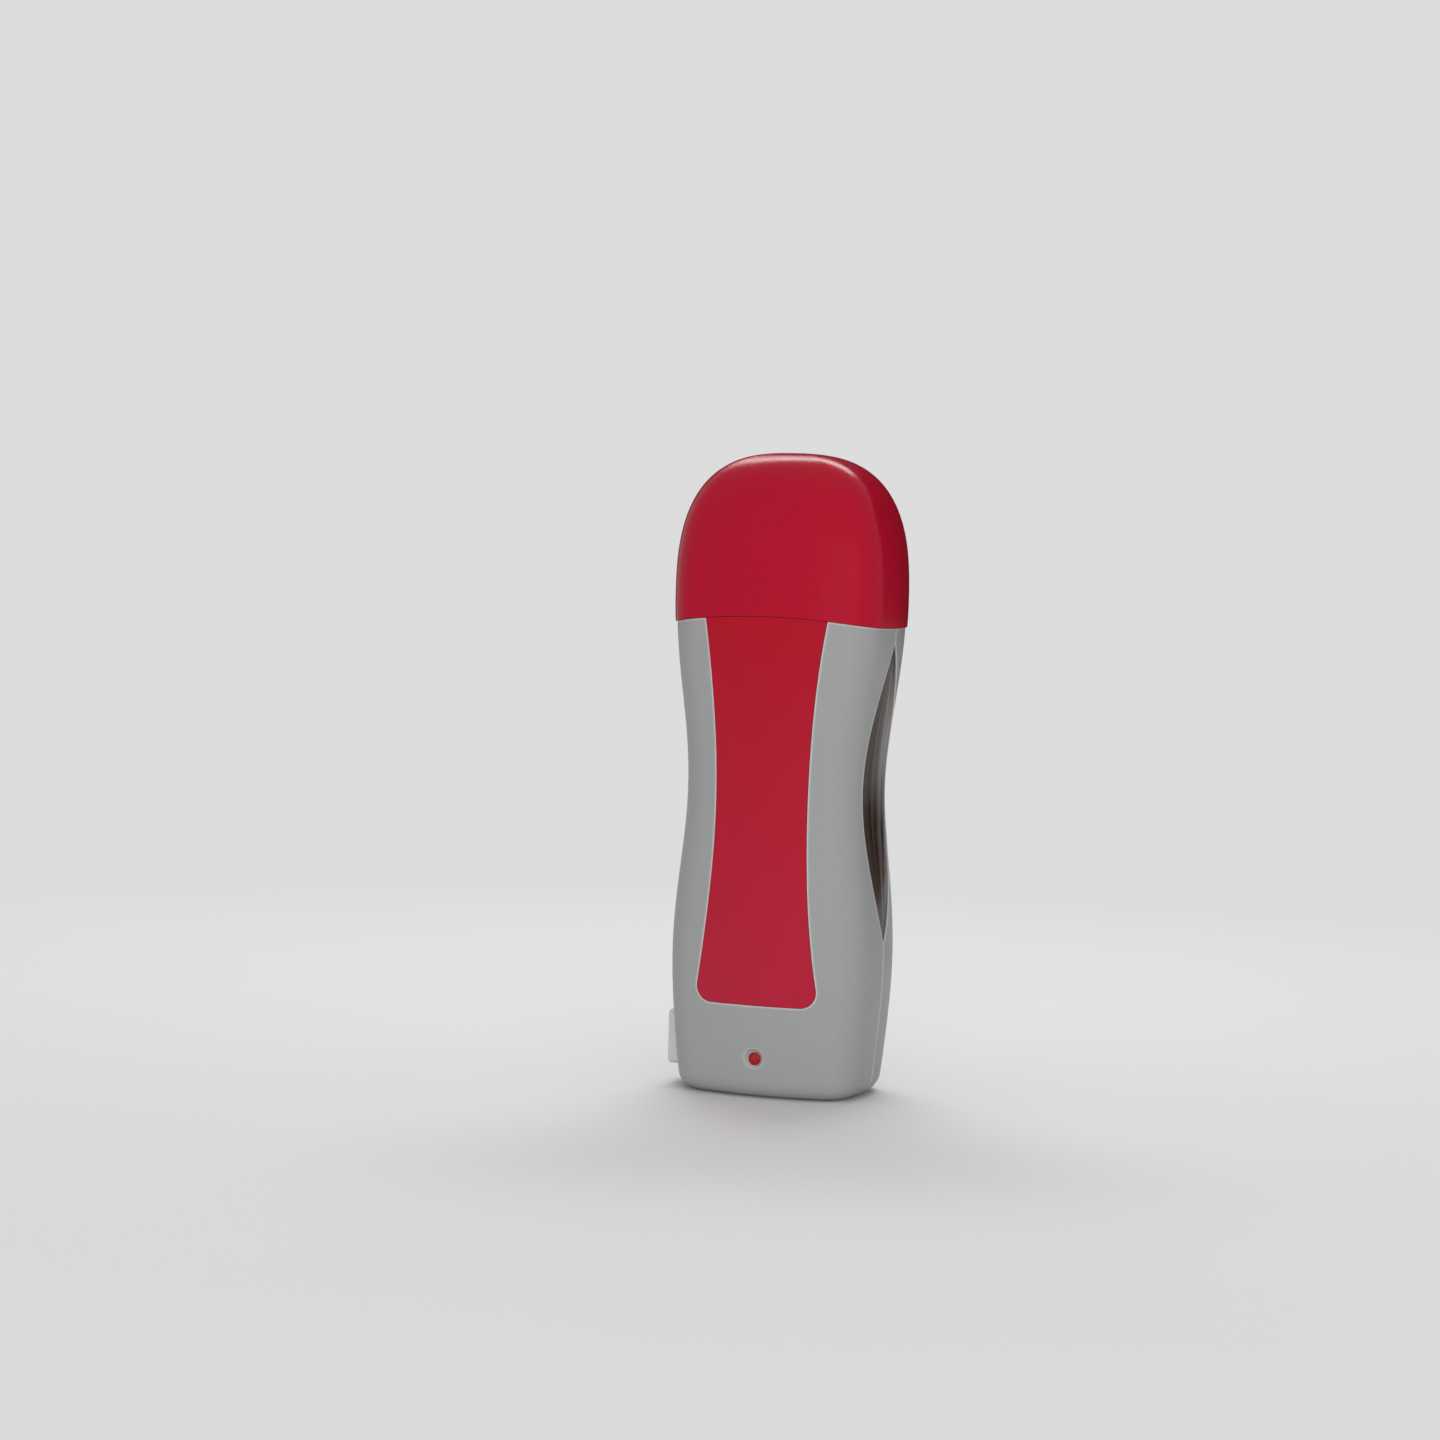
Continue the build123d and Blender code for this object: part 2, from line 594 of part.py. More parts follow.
with BuildPart() as cap:
    add(cap_form(0.0))
    add(cap_form(CAP_WALL), mode=Mode.SUBTRACT)
    add(above_seam(SEAM_GAP), mode=Mode.INTERSECT)
    add(cap_stops.part)
write(cap.part, "cap")

# ---- Cartridge well with the neck that the cap slides over ----
with BuildPart() as neck_ring:
    add(body_form(SHELL_WALL + NECK_GAP, 0.0))
    add(body_form(SHELL_WALL + NECK_GAP + NECK_WALL, 0.0), mode=Mode.SUBTRACT)
with BuildPart() as neck_plate:
    add(body_form(SHELL_WALL + NECK_GAP, 0.0))
with BuildPart() as neck_zone:
    with BuildSketch(Plane.XY.offset(NECK_TOP - NECK_DROP)):
        Rectangle(REACH, REACH)
    extrude(amount=NECK_DROP)
with BuildPart() as plate_zone:
    with BuildSketch(Plane.XY.offset(NECK_TOP - NECK_PLATE)):
        Rectangle(REACH, REACH)
    extrude(amount=NECK_PLATE)

with BuildPart() as cartridge_well:
    add(neck_ring.part)
    add(neck_zone.part, mode=Mode.INTERSECT)
with BuildPart() as neck_top:
    add(neck_plate.part)
    add(plate_zone.part, mode=Mode.INTERSECT)
with BuildPart() as well:
    add(cartridge_well.part)
    add(neck_top.part)
    with BuildSketch(Plane.XY.offset(WELL_FLOOR - WELL_WALL)):
        RectangleRounded(WELL_WIDTH, WELL_DEPTH, CARTRIDGE_CORNER + WELL_GAP + WELL_WALL)
    extrude(amount=NECK_TOP - WELL_FLOOR + WELL_WALL)
    with BuildSketch(Plane.XY.offset(WELL_FLOOR)):
        RectangleRounded(WELL_INNER_WIDTH, WELL_INNER_DEPTH, CARTRIDGE_CORNER + WELL_GAP)
    extrude(amount=REACH, mode=Mode.SUBTRACT)
    with BuildSketch(Plane.XZ):
        with Locations((0, WAIST_HEIGHT)):
            Rectangle(PLATE_WIDTH + 2 * PLATE_EDGE_GAP, PLATE_HEIGHT + 2 * PLATE_EDGE_GAP)
    extrude(amount=WELL_DEPTH, both=True, mode=Mode.SUBTRACT)
    with BuildSketch(Plane.YZ):
        with Locations((0, WINDOW_MIDDLE)):
            SlotOverall(WELL_SLOT_HEIGHT, WELL_SLOT_WIDTH, rotation=90)
    extrude(amount=WELL_WIDTH, mode=Mode.SUBTRACT)
write(well.part, "cartridge_well")

# ---- Heater stack: plate, ceramic heater, mica sheet and leaf spring, front and rear ----
spring_edges = (WAIST_HEIGHT - SPRING_WIDTH / 2, WAIST_HEIGHT + SPRING_WIDTH / 2)
SPRING_CREST = min(-front_of(body_core, z) for z in spring_edges) - SPRING_GAP
for name, side in (("front", -1), ("rear", 1)):
    layer_plane = Plane(origin=(0, 0, WAIST_HEIGHT), x_dir=(1, 0, 0), z_dir=(0, side, 0))

    with BuildPart() as heater_plate:
        with BuildSketch(layer_plane.offset(PLATE_FACE)):
            Rectangle(PLATE_WIDTH, PLATE_HEIGHT)
        extrude(amount=PLATE_THICKNESS)
    write(heater_plate.part, f"{name}_heater_plate")

    with BuildPart() as ceramic_heater:
        with BuildSketch(layer_plane.offset(CERAMIC_FACE)):
            Rectangle(CERAMIC_WIDTH, CERAMIC_HEIGHT)
        extrude(amount=CERAMIC_THICKNESS)
    write(ceramic_heater.part, f"{name}_ceramic_heater")

    with BuildPart() as mica_sheet:
        with BuildSketch(layer_plane.offset(MICA_FACE)):
            Rectangle(MICA_WIDTH, MICA_HEIGHT)
        extrude(amount=MICA_THICKNESS)
    write(mica_sheet.part, f"{name}_mica_sheet")

    with BuildPart() as leaf_spring:
        with BuildSketch(Plane.XY.offset(WAIST_HEIGHT - SPRING_WIDTH / 2)):
            with BuildLine():
                inner = ThreePointArc(
                    (-SPRING_SPAN / 2, side * SPRING_FACE),
                    (0, side * (SPRING_CREST - SPRING_SHEET)),
                    (SPRING_SPAN / 2, side * SPRING_FACE),
                )
                outer = ThreePointArc(
                    (-SPRING_SPAN / 2, side * (SPRING_FACE + SPRING_SHEET)),
                    (0, side * SPRING_CREST),
                    (SPRING_SPAN / 2, side * (SPRING_FACE + SPRING_SHEET)),
                )
                Line(inner @ 0, outer @ 0)
                Line(inner @ 1, outer @ 1)
            make_face()
        extrude(amount=SPRING_WIDTH)
    write(leaf_spring.part, f"{name}_leaf_spring")

# ---- Thermal fuse below the rear ceramic heater, in line with it ----
FUSE_Y = CERAMIC_FACE + FUSE_GAP + FUSE_DIAMETER / 2
FUSE_TOP = WAIST_HEIGHT - CERAMIC_HEIGHT / 2
FUSE_BOTTOM = FUSE_TOP - FUSE_LENGTH - 2 * FUSE_PIN_LENGTH
with BuildPart() as thermal_fuse:
    with BuildSketch(Plane.XY.offset(FUSE_BOTTOM)):
        with Locations((0, FUSE_Y)):
            Circle(FUSE_PIN_DIAMETER / 2)
    extrude(amount=FUSE_TOP - FUSE_BOTTOM)
    with BuildSketch(Plane.XY.offset(FUSE_BOTTOM + FUSE_PIN_LENGTH)):
        with Locations((0, FUSE_Y)):
            Circle(FUSE_DIAMETER / 2)
    extrude(amount=FUSE_LENGTH)
write(thermal_fuse.part, "thermal_fuse")

# ---- Indicator lamp, its lens and the control board ----
with BuildPart() as indicator_lens:
    with BuildSketch(Plane.YZ):
        with BuildLine():
            Polyline(
                (LENS_FRONT_Y + LENS_CROWN, LAMP_HEIGHT + LENS_DIAMETER / 2),
                (LAMP_SKIN_Y + LENS_SEAT, LAMP_HEIGHT + LENS_DIAMETER / 2),
                (LAMP_SKIN_Y + LENS_SEAT, LAMP_HEIGHT + LENS_DIAMETER / 2 + LENS_RIM),
                (LENS_BACK_Y, LAMP_HEIGHT + LENS_DIAMETER / 2 + LENS_RIM),
                (LENS_BACK_Y, LAMP_HEIGHT),
                (LENS_FRONT_Y, LAMP_HEIGHT),
            )
            RadiusArc(
                (LENS_FRONT_Y, LAMP_HEIGHT),
                (LENS_FRONT_Y + LENS_CROWN, LAMP_HEIGHT + LENS_DIAMETER / 2),
                (LENS_CROWN ** 2 + (LENS_DIAMETER / 2) ** 2) / (2 * LENS_CROWN),
            )
        make_face()
    revolve(axis=Axis((0, 0, LAMP_HEIGHT), (0, 1, 0)))
write(indicator_lens.part, "indicator_lens")

with BuildPart() as indicator_led:
    with BuildSketch(BOARD_PLANE):
        Circle(LAMP_DIAMETER / 2)
    extrude(amount=-LAMP_LENGTH)
    fillet(indicator_led.edges().sort_by(Axis.Y)[0], LAMP_ROUNDING)
write(indicator_led.part, "indicator_led")

with BuildPart() as control_board:
    with BuildSketch(BOARD_PLANE):
        Rectangle(BOARD_WIDTH, BOARD_HEIGHT)
    extrude(amount=BOARD_THICKNESS)
write(control_board.part, "control_board")

TERMINAL_TOP = LAMP_HEIGHT + BOARD_HEIGHT / 2 - TERMINAL_MARGIN
TERMINAL_HEIGHT = TERMINAL_TOP - TERMINAL_SIZE[2] / 2
with BuildPart() as board_components:
    with Locations((0, BOARD_BACK_Y + TERMINAL_SIZE[1] / 2, TERMINAL_HEIGHT)):
        Box(*TERMINAL_SIZE)
    with BuildSketch(BOARD_PLANE.offset(BOARD_THICKNESS)):
        with Locations((COMPONENT_X, COMPONENT_RISE)):
            Circle(CAPACITOR_DIAMETER / 2)
    extrude(amount=CAPACITOR_LENGTH)
    with Locations((-COMPONENT_X, BOARD_BACK_Y + RESISTOR_SIZE[1] / 2, LAMP_HEIGHT - COMPONENT_RISE)):
        Box(*RESISTOR_SIZE)
write(board_components.part, "board_components")

# ---- Inlet: housing with a figure-of-eight socket, and its two pins ----
INLET_BACK_X = -INLET_FACE + INLET_LENGTH
FLANGE_FACE = BASE_HALF_WIDTH - SHELL_WALL - INLET_FLANGE_SETBACK
PIN_HEIGHTS = (INLET_HEIGHT - PIN_PITCH / 2, INLET_HEIGHT + PIN_PITCH / 2)
with BuildPart() as inlet_housing:
    add(inlet_prism(0.0, INLET_LENGTH))
    fillet(inlet_housing.faces().sort_by(Axis.X)[0].edges(), INLET_RIM)
    add(inlet_prism(INLET_FLANGE, INLET_FLANGE, FLANGE_FACE))
    with BuildSketch(Plane.YZ.offset(-INLET_FACE)):
        with Locations(*[(INLET_Y, z) for z in PIN_HEIGHTS]):
            Circle(SOCKET_LOBE)
        with Locations((INLET_Y, INLET_HEIGHT)):
            Rectangle(SOCKET_WAIST, PIN_PITCH)
    extrude(amount=SOCKET_DEPTH, mode=Mode.SUBTRACT)
    with BuildSketch(Plane.YZ.offset(-INLET_FACE)):
        with Locations(*[(INLET_Y, z) for z in PIN_HEIGHTS]):
            Circle(PIN_TAIL_DIAMETER / 2)
    extrude(amount=INLET_LENGTH, mode=Mode.SUBTRACT)
write(inlet_housing.part, "inlet_housing")

with BuildPart() as inlet_pins:
    with BuildSketch(Plane.YZ.offset(-INLET_FACE + PIN_SETBACK)):
        with Locations(*[(INLET_Y, z) for z in PIN_HEIGHTS]):
            Circle(PIN_DIAMETER / 2)
    extrude(amount=SOCKET_DEPTH - PIN_SETBACK)
    fillet(inlet_pins.edges().group_by(Axis.X)[0], PIN_ROUNDING)
    with BuildSketch(Plane.YZ.offset(-INLET_FACE + SOCKET_DEPTH)):
        with Locations(*[(INLET_Y, z) for z in PIN_HEIGHTS]):
            Circle(PIN_TAIL_DIAMETER / 2)
    extrude(amount=INLET_LENGTH - SOCKET_DEPTH + PIN_TAIL_LENGTH)
write(inlet_pins.part, "inlet_pins")

# ---- Leads ----
PIN_END_X = INLET_BACK_X + PIN_TAIL_LENGTH
TERMINAL_BACK_Y = BOARD_BACK_Y + TERMINAL_SIZE[1]
TERMINAL_X = TERMINAL_SIZE[0] / 4
write(
    lead(
        [
            (PIN_END_X, INLET_Y, PIN_HEIGHTS[1]),
            (LIVE_BEND_X, INLET_Y, PIN_HEIGHTS[1]),
            (-TERMINAL_X, TERMINAL_BACK_Y + LIVE_BEND_Y, TERMINAL_HEIGHT),
            (-TERMINAL_X, TERMINAL_BACK_Y, TERMINAL_HEIGHT),
        ],
        INLET_LEAD_RADII,
    ),
    "inlet_lead_live",
)
write(
    lead(
        [
            (PIN_END_X, INLET_Y, PIN_HEIGHTS[0]),
            (NEUTRAL_BEND_X, INLET_Y, PIN_HEIGHTS[0]),
            (TERMINAL_X, TERMINAL_BACK_Y + NEUTRAL_BEND_Y, TERMINAL_HEIGHT),
            (TERMINAL_X, TERMINAL_BACK_Y, TERMINAL_HEIGHT),
        ],
        INLET_LEAD_RADII,
    ),
    "inlet_lead_neutral",
)
FRONT_LEAD_Y = -(CERAMIC_FACE + MICA_FACE) / 2
TERMINAL_MIDDLE_Y = BOARD_BACK_Y + TERMINAL_SIZE[1] / 2
write(
    lead(
        [
            (-TERMINAL_X, TERMINAL_MIDDLE_Y, TERMINAL_TOP),
            (-TERMINAL_X, TERMINAL_MIDDLE_Y, TERMINAL_TOP + FRONT_LEAD_RISES[0]),
            (0, FRONT_LEAD_Y, TERMINAL_TOP + FRONT_LEAD_RISES[1]),
            (0, FRONT_LEAD_Y, FUSE_TOP),
        ],
        FRONT_LEAD_RADII,
    ),
    "heater_lead_front",
)
write(
    lead(
        [
            (TERMINAL_X, TERMINAL_MIDDLE_Y, TERMINAL_TOP),
            (TERMINAL_X, TERMINAL_MIDDLE_Y, TERMINAL_TOP + REAR_LEAD_RISES[0]),
            (0, FUSE_Y, TERMINAL_TOP + REAR_LEAD_RISES[1]),
            (0, FUSE_Y, FUSE_BOTTOM),
        ],
        REAR_LEAD_RADII,
    ),
    "heater_lead_rear",
)

# ---- Case screws, driven from the rear ----
with BuildPart() as case_screws:
    with BuildSketch(Plane.XZ.offset(SCREW_BITE)):
        with Locations((-SCREW_X, SCREW_HEIGHT), (SCREW_X, SCREW_HEIGHT)):
            Circle(SCREW_DIAMETER / 2)
    extrude(amount=-SCREW_BITE - SCREW_SEAT_Y)
    with BuildSketch(Plane.XZ.offset(-SCREW_SEAT_Y)):
        with Locations((-SCREW_X, SCREW_HEIGHT), (SCREW_X, SCREW_HEIGHT)):
            Circle(SCREW_HEAD_DIAMETER / 2)
    extrude(amount=-SCREW_HEAD_HEIGHT)
    fillet(case_screws.edges().group_by(Axis.Y)[-1], SCREW_HEAD_EDGE)
    with BuildSketch(Plane.XZ.offset(-SCREW_SEAT_Y - SCREW_HEAD_HEIGHT)):
        with Locations((-SCREW_X, SCREW_HEIGHT), (SCREW_X, SCREW_HEIGHT)):
            Rectangle(SCREW_CROSS_LENGTH, SCREW_CROSS_WIDTH)
            Rectangle(SCREW_CROSS_WIDTH, SCREW_CROSS_LENGTH)
    extrude(amount=SCREW_CROSS_DEPTH, mode=Mode.SUBTRACT)
write(case_screws.part, "case_screws")

# ---- Wax cartridge: body, wax, head and roller ----
with BuildPart() as cartridge_body:
    with BuildSketch(Plane.XY.offset(CARTRIDGE_BOTTOM)):
        RectangleRounded(CARTRIDGE_WIDTH, CARTRIDGE_DEPTH, CARTRIDGE_CORNER)
    extrude(amount=CARTRIDGE_HEIGHT)
    fillet(cartridge_body.faces().sort_by(Axis.Z)[0].edges(), CARTRIDGE_WALL)
    with BuildSketch(Plane.XY.offset(CARTRIDGE_BOTTOM + CARTRIDGE_WALL)):
        RectangleRounded(
            CARTRIDGE_WIDTH - 2 * CARTRIDGE_WALL,
            CARTRIDGE_DEPTH - 2 * CARTRIDGE_WALL,
            CARTRIDGE_CORNER - CARTRIDGE_WALL,
        )
    extrude(amount=CARTRIDGE_HEIGHT, mode=Mode.SUBTRACT)
write(cartridge_body.part, "cartridge_body")

inside_wall = CARTRIDGE_WALL + WAX_GAP
with BuildPart() as wax_fill:
    with BuildSketch(Plane.XY.offset(CARTRIDGE_BOTTOM + CARTRIDGE_WALL)):
        RectangleRounded(
            CARTRIDGE_WIDTH - 2 * inside_wall, CARTRIDGE_DEPTH - 2 * inside_wall, CARTRIDGE_CORNER - inside_wall
        )
    extrude(amount=CARTRIDGE_HEIGHT - CARTRIDGE_WALL - WAX_HEADROOM)
write(wax_fill.part, "wax_fill")

with BuildPart() as cartridge_head:
    with BuildSketch(Plane.XY.offset(NECK_TOP)):
        RectangleRounded(HEAD_WIDTH, HEAD_DEPTH, CARTRIDGE_CORNER + HEAD_OVERHANG_Y)
    extrude(amount=HEAD_FLANGE)
    with BuildSketch(Plane.XY.offset(NECK_TOP + HEAD_FLANGE)):
        RectangleRounded(
            HEAD_WIDTH - 2 * HEAD_BLOCK_INSET, HEAD_DEPTH - 2 * HEAD_BLOCK_INSET, CARTRIDGE_CORNER
        )
    extrude(amount=HEAD_HEIGHT, taper=HEAD_TAPER)
    fillet(cartridge_head.faces().sort_by(Axis.Z)[-1].edges(), HEAD_EDGE)
    with BuildSketch(Plane.XY.offset(NECK_TOP)):
        RectangleRounded(
            CARTRIDGE_WIDTH - 2 * inside_wall, CARTRIDGE_DEPTH - 2 * inside_wall, CARTRIDGE_CORNER - inside_wall
        )
    extrude(amount=-HEAD_PLUG)
    with BuildSketch(Plane.YZ):
        with Locations((0, ROLLER_HEIGHT)):
            Circle(ROLLER_DIAMETER / 2 + ROLLER_GAP)
    extrude(amount=ROLLER_LENGTH / 2 + ROLLER_GAP, both=True, mode=Mode.SUBTRACT)
    with BuildSketch(Plane.YZ):
        with Locations((0, ROLLER_HEIGHT)):
            Circle(TRUNNION_DIAMETER / 2 + TRUNNION_FIT)
    extrude(
        amount=ROLLER_LENGTH / 2 + TRUNNION_LENGTH + ROLLER_GAP, both=True, mode=Mode.SUBTRACT
    )
    with BuildSketch(Plane.XY.offset(NECK_TOP - HEAD_PLUG)):
        SlotOverall(ROLLER_LENGTH - 2 * WAX_SLOT_MARGIN, WAX_SLOT_WIDTH)
    extrude(amount=HEAD_PLUG + HEAD_HEIGHT, mode=Mode.SUBTRACT)
write(cartridge_head.part, "cartridge_head")

with BuildPart() as roller:
    with BuildSketch(Plane.YZ):
        with Locations((0, ROLLER_HEIGHT)):
            Circle(ROLLER_DIAMETER / 2)
    extrude(amount=ROLLER_LENGTH / 2, both=True)
    fillet(roller.edges().filter_by(GeomType.CIRCLE), ROLLER_EDGE)
    with BuildSketch(Plane.YZ):
        with Locations((0, ROLLER_HEIGHT)):
            Circle(TRUNNION_DIAMETER / 2)
    extrude(amount=ROLLER_LENGTH / 2 + TRUNNION_LENGTH, both=True)
write(roller.part, "roller")
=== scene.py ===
from math import cos, pi, radians, sin

import bpy
from mathutils import Matrix, Vector


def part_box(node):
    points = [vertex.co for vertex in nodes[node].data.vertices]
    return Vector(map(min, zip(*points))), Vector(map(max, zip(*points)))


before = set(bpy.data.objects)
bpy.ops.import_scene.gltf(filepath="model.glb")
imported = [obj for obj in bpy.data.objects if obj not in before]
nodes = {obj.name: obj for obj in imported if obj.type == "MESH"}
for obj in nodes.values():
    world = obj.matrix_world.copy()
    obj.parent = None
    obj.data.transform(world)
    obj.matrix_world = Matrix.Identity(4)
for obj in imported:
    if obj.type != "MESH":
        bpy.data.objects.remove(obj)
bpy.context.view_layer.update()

# A roll-on wax heater. Every piece of it is a node of the frame, so this script only gives each
# node its finish and adds the floor, the lamps and the camera. Lengths are metres in the part's
# own frame, colours are linear, and the scale of a texture is in cycles per metre.
MICRON = 1e-6
SPREAD = (0.3, 0.7)          # most values of a noise texture lie between these


# ---------------------------------------------------------------------------------------------
# Shader trees
# ---------------------------------------------------------------------------------------------
def shade(colour, factor):
    return tuple(min(1.0, c * factor) for c in colour)


class Nodes:
    """The nodes and links of one shader tree."""

    def __init__(self, tree):
        self.tree = tree

    def add(self, kind, **settings):
        node = self.tree.nodes.new(kind)
        for key, value in settings.items():
            setattr(node, key, value)
        return node

    def feed(self, socket, value):
        """Links a socket to another, or sets it to a plain value."""
        if isinstance(value, bpy.types.NodeSocket):
            self.tree.links.new(value, socket)
        else:
            socket.default_value = value

    def maths(self, operation, a, b):
        node = self.add("ShaderNodeMath", operation=operation)
        self.feed(node.inputs[0], a)
        self.feed(node.inputs[1], b)
        return node.outputs[0]

    def is_seen(self):
        """1 on a ray of the camera, a reflection or a clear piece, 0 on one that only lights."""
        ray = self.add("ShaderNodeLightPath")
        seen = self.maths("MAXIMUM", ray.outputs["Is Camera Ray"], ray.outputs["Is Glossy Ray"])
        return self.maths("MAXIMUM", seen, ray.outputs["Is Transmission Ray"])

    def merge(self, output, factor, base, over):
        """Sends a mix of two shaders to the tree's output node."""
        mix = self.add("ShaderNodeMixShader")
        for socket, value in zip(mix.inputs, (factor, base, over)):
            self.feed(socket, value)
        self.feed(self.tree.nodes[output].inputs["Surface"], mix.outputs[0])


class Look(Nodes):
    """One procedural finish on a Principled shader."""

    def __init__(self, name, **constants):
        self.material = bpy.data.materials.new(name)
        self.material.use_nodes = True
        super().__init__(self.material.node_tree)
        self.shader = self.tree.nodes["Principled BSDF"]
        self.where = self.add("ShaderNodeTexCoord").outputs["Object"]
        self.last_bump = None
        for socket, value in constants.items():
            self.shader.inputs[socket.replace("_", " ")].default_value = value

    # Patterns

    def space(self, stretch=(1, 1, 1), turn=(0, 0, 0)):
        mapping = self.add("ShaderNodeMapping")
        mapping.inputs["Scale"].default_value = stretch
        mapping.inputs["Rotation"].default_value = turn
        self.feed(mapping.inputs["Vector"], self.where)
        return mapping.outputs["Vector"]

    def axis(self, letter):
        node = self.add("ShaderNodeSeparateXYZ")
        self.feed(node.inputs[0], self.where)
        return node.outputs[letter]

    def point(self, *parts):
        node = self.add("ShaderNodeCombineXYZ")
        for socket, part in zip(node.inputs, parts):
            self.feed(socket, part)
        return node.outputs[0]

    def noise(self, scale, detail=2.0, roughness=0.5, stretch=(1, 1, 1), at=None):
        node = self.add("ShaderNodeTexNoise")
        self.feed(node.inputs["Vector"], at or self.space(stretch))
        node.inputs["Scale"].default_value = scale
        node.inputs["Detail"].default_value = detail
        node.inputs["Roughness"].default_value = roughness
        return node.outputs["Fac"]

    def cells(self, scale, output="Distance", stretch=(1, 1, 1)):
        node = self.add("ShaderNodeTexVoronoi")
        self.feed(node.inputs["Vector"], self.space(stretch))
        node.inputs["Scale"].default_value = scale
        return node.outputs[output]

    def edges(self, radius, flat=0.985, sharp=0.80):
        """1 at a crisp edge and 0 a radius away from it. The limits are cosines of the bend there."""
        bevel = self.add("ShaderNodeBevel", samples=4)
        bevel.inputs["Radius"].default_value = radius
        normal = self.add("ShaderNodeNewGeometry").outputs["Normal"]
        bend = self.add("ShaderNodeVectorMath", operation="DOT_PRODUCT")
        self.feed(bend.inputs[0], bevel.outputs[0])
        self.feed(bend.inputs[1], normal)
        return self.level(bend.outputs["Value"], 1.0, 0.0, sharp, flat)

    # Values and colours made from patterns

    def level(self, pattern, low, high, start=0.0, stop=1.0):
        """Low where the pattern is at start, high where it is at stop."""
        node = self.add("ShaderNodeMapRange")
        for key, value in (("From Min", start), ("From Max", stop), ("To Min", low), ("To Max", high)):
            node.inputs[key].default_value = value
        self.feed(node.inputs["Value"], pattern)
        return node.outputs["Result"]

    def blend(self, factor, a, b):
        node = self.add("ShaderNodeMix", data_type="RGBA")
        factor_socket, a_socket, b_socket = node.inputs[0], node.inputs[6], node.inputs[7]
        self.feed(factor_socket, factor)
        for socket, value in ((a_socket, a), (b_socket, b)):
            self.feed(socket, value if isinstance(value, bpy.types.NodeSocket) else (*value, 1.0))
        return node.outputs[2]

    def drift(self, pattern, colour, dark, light):
        """A colour that wanders between a darker and a lighter shade of itself."""
        return self.blend(pattern, shade(colour, dark), shade(colour, light))

    # What reaches the shader

    def colour(self, socket):
        self.feed(self.shader.inputs["Base Color"], socket)

    def rough(self, socket):
        self.feed(self.shader.inputs["Roughness"], socket)

    def relief(self, height, depth):
        """A bump on top of those before it."""
        node = self.add("ShaderNodeBump")
        node.inputs["Distance"].default_value = depth
        node.inputs["Strength"].default_value = 1.0
        self.feed(node.inputs["Height"], height)
        if self.last_bump:
            self.feed(node.inputs["Normal"], self.last_bump)
        self.last_bump = node.outputs["Normal"]
        self.feed(self.shader.inputs["Normal"], self.last_bump)


# ---------------------------------------------------------------------------------------------
# Finishes that several pieces share
# ---------------------------------------------------------------------------------------------
def moulded(
    name, colour, roughness, grain=1500, depth=40 * MICRON, edge=1.12, edge_width=0.0004, catch=0.6, **constants
):
    """Moulded plastic: spark-eroded grain, uneven gloss, and paler edges that are partly rubbed and partly a
    painted highlight.

    edge is the factor by which an edge is painted paler, edge_width the width of that band, and catch how
    much of it shows.
    """
    look = Look(name, **constants)
    drift = look.drift(look.noise(14, detail=3), colour, 0.93, 1.06)
    specks = look.level(look.noise(grain, detail=2), 0.0, 0.35, start=0.45, stop=0.7)
    grained = look.blend(specks, drift, shade(colour, 0.86))
    # Paler edges: partly rubbed, partly a painted highlight where light would catch them.
    rubbed_and_highlit_edges = look.maths("MULTIPLY", look.edges(edge_width), catch)
    look.colour(look.blend(rubbed_and_highlit_edges, grained, shade(colour, edge)))
    patches = look.noise(55, detail=4, roughness=0.6)
    handled = look.level(patches, roughness - 0.06, roughness + 0.06, *SPREAD)
    fine = look.level(look.noise(grain * 0.6, detail=2), -0.03, 0.03, *SPREAD)
    look.rough(look.maths("ADD", handled, fine))
    look.relief(look.noise(grain, detail=3, roughness=0.65), depth)
    look.relief(look.noise(90, detail=2), depth * 1.2)
    return look


def polished(name, colour, roughness, painted_shade=None, **constants):
    """Glossy moulded plastic: lines of tone up and down, orange peel, hairline scuffs, and paler edges that
    are partly rubbed and partly a painted highlight.

    painted_shade is a second colour, a painted shade, and the heights from and to which the first one turns
    into it.
    """
    look = Look(name, **constants)
    drift = look.drift(look.noise(18, detail=3, stretch=(1, 1, 0.25)), colour, 0.90, 1.07)
    if painted_shade:
        shaded_colour, low, high = painted_shade
        # Painted shade: the colour turns into the darker one higher up the part.
        drift = look.blend(look.level(look.axis("Z"), 0.0, 1.0, low, high), drift, shaded_colour)
    # Paler edges: partly rubbed, partly a painted highlight.
    rubbed_and_highlit_edges = look.maths("MULTIPLY", look.edges(0.0005, flat=0.93), 0.45)
    look.colour(look.blend(rubbed_and_highlit_edges, drift, shade(colour, 1.25)))
    haze = look.level(look.noise(40, detail=3), roughness - 0.04, roughness + 0.06, *SPREAD)
    hairlines = look.noise(420, detail=2, roughness=0.6, stretch=(1.0, 0.3, 0.12))
    scuffs = look.level(hairlines, 0.0, 0.07, start=0.58, stop=0.72)
    look.rough(look.maths("ADD", haze, scuffs))
    look.relief(look.noise(260, detail=2), 20 * MICRON)
    look.relief(look.noise(3000, detail=1), 4 * MICRON)
    return look


def metal(name, colour, roughness, stretch=(1, 1, 1)):
    """Bare metal with dull patches, and rolling lines along each axis whose stretch is small."""
    look = Look(name, Metallic=1.0)
    lines = look.noise(900, detail=4, roughness=0.6, stretch=stretch)
    stain = look.drift(look.noise(45, detail=4, roughness=0.6), colour, 0.82, 1.05)
    look.colour(look.blend(look.level(lines, 0.0, 0.5, start=0.45, stop=0.7), stain, shade(colour, 0.8)))
    look.rough(look.level(lines, roughness - 0.08, roughness + 0.10, *SPREAD))
    look.relief(lines, 15 * MICRON)
    return look


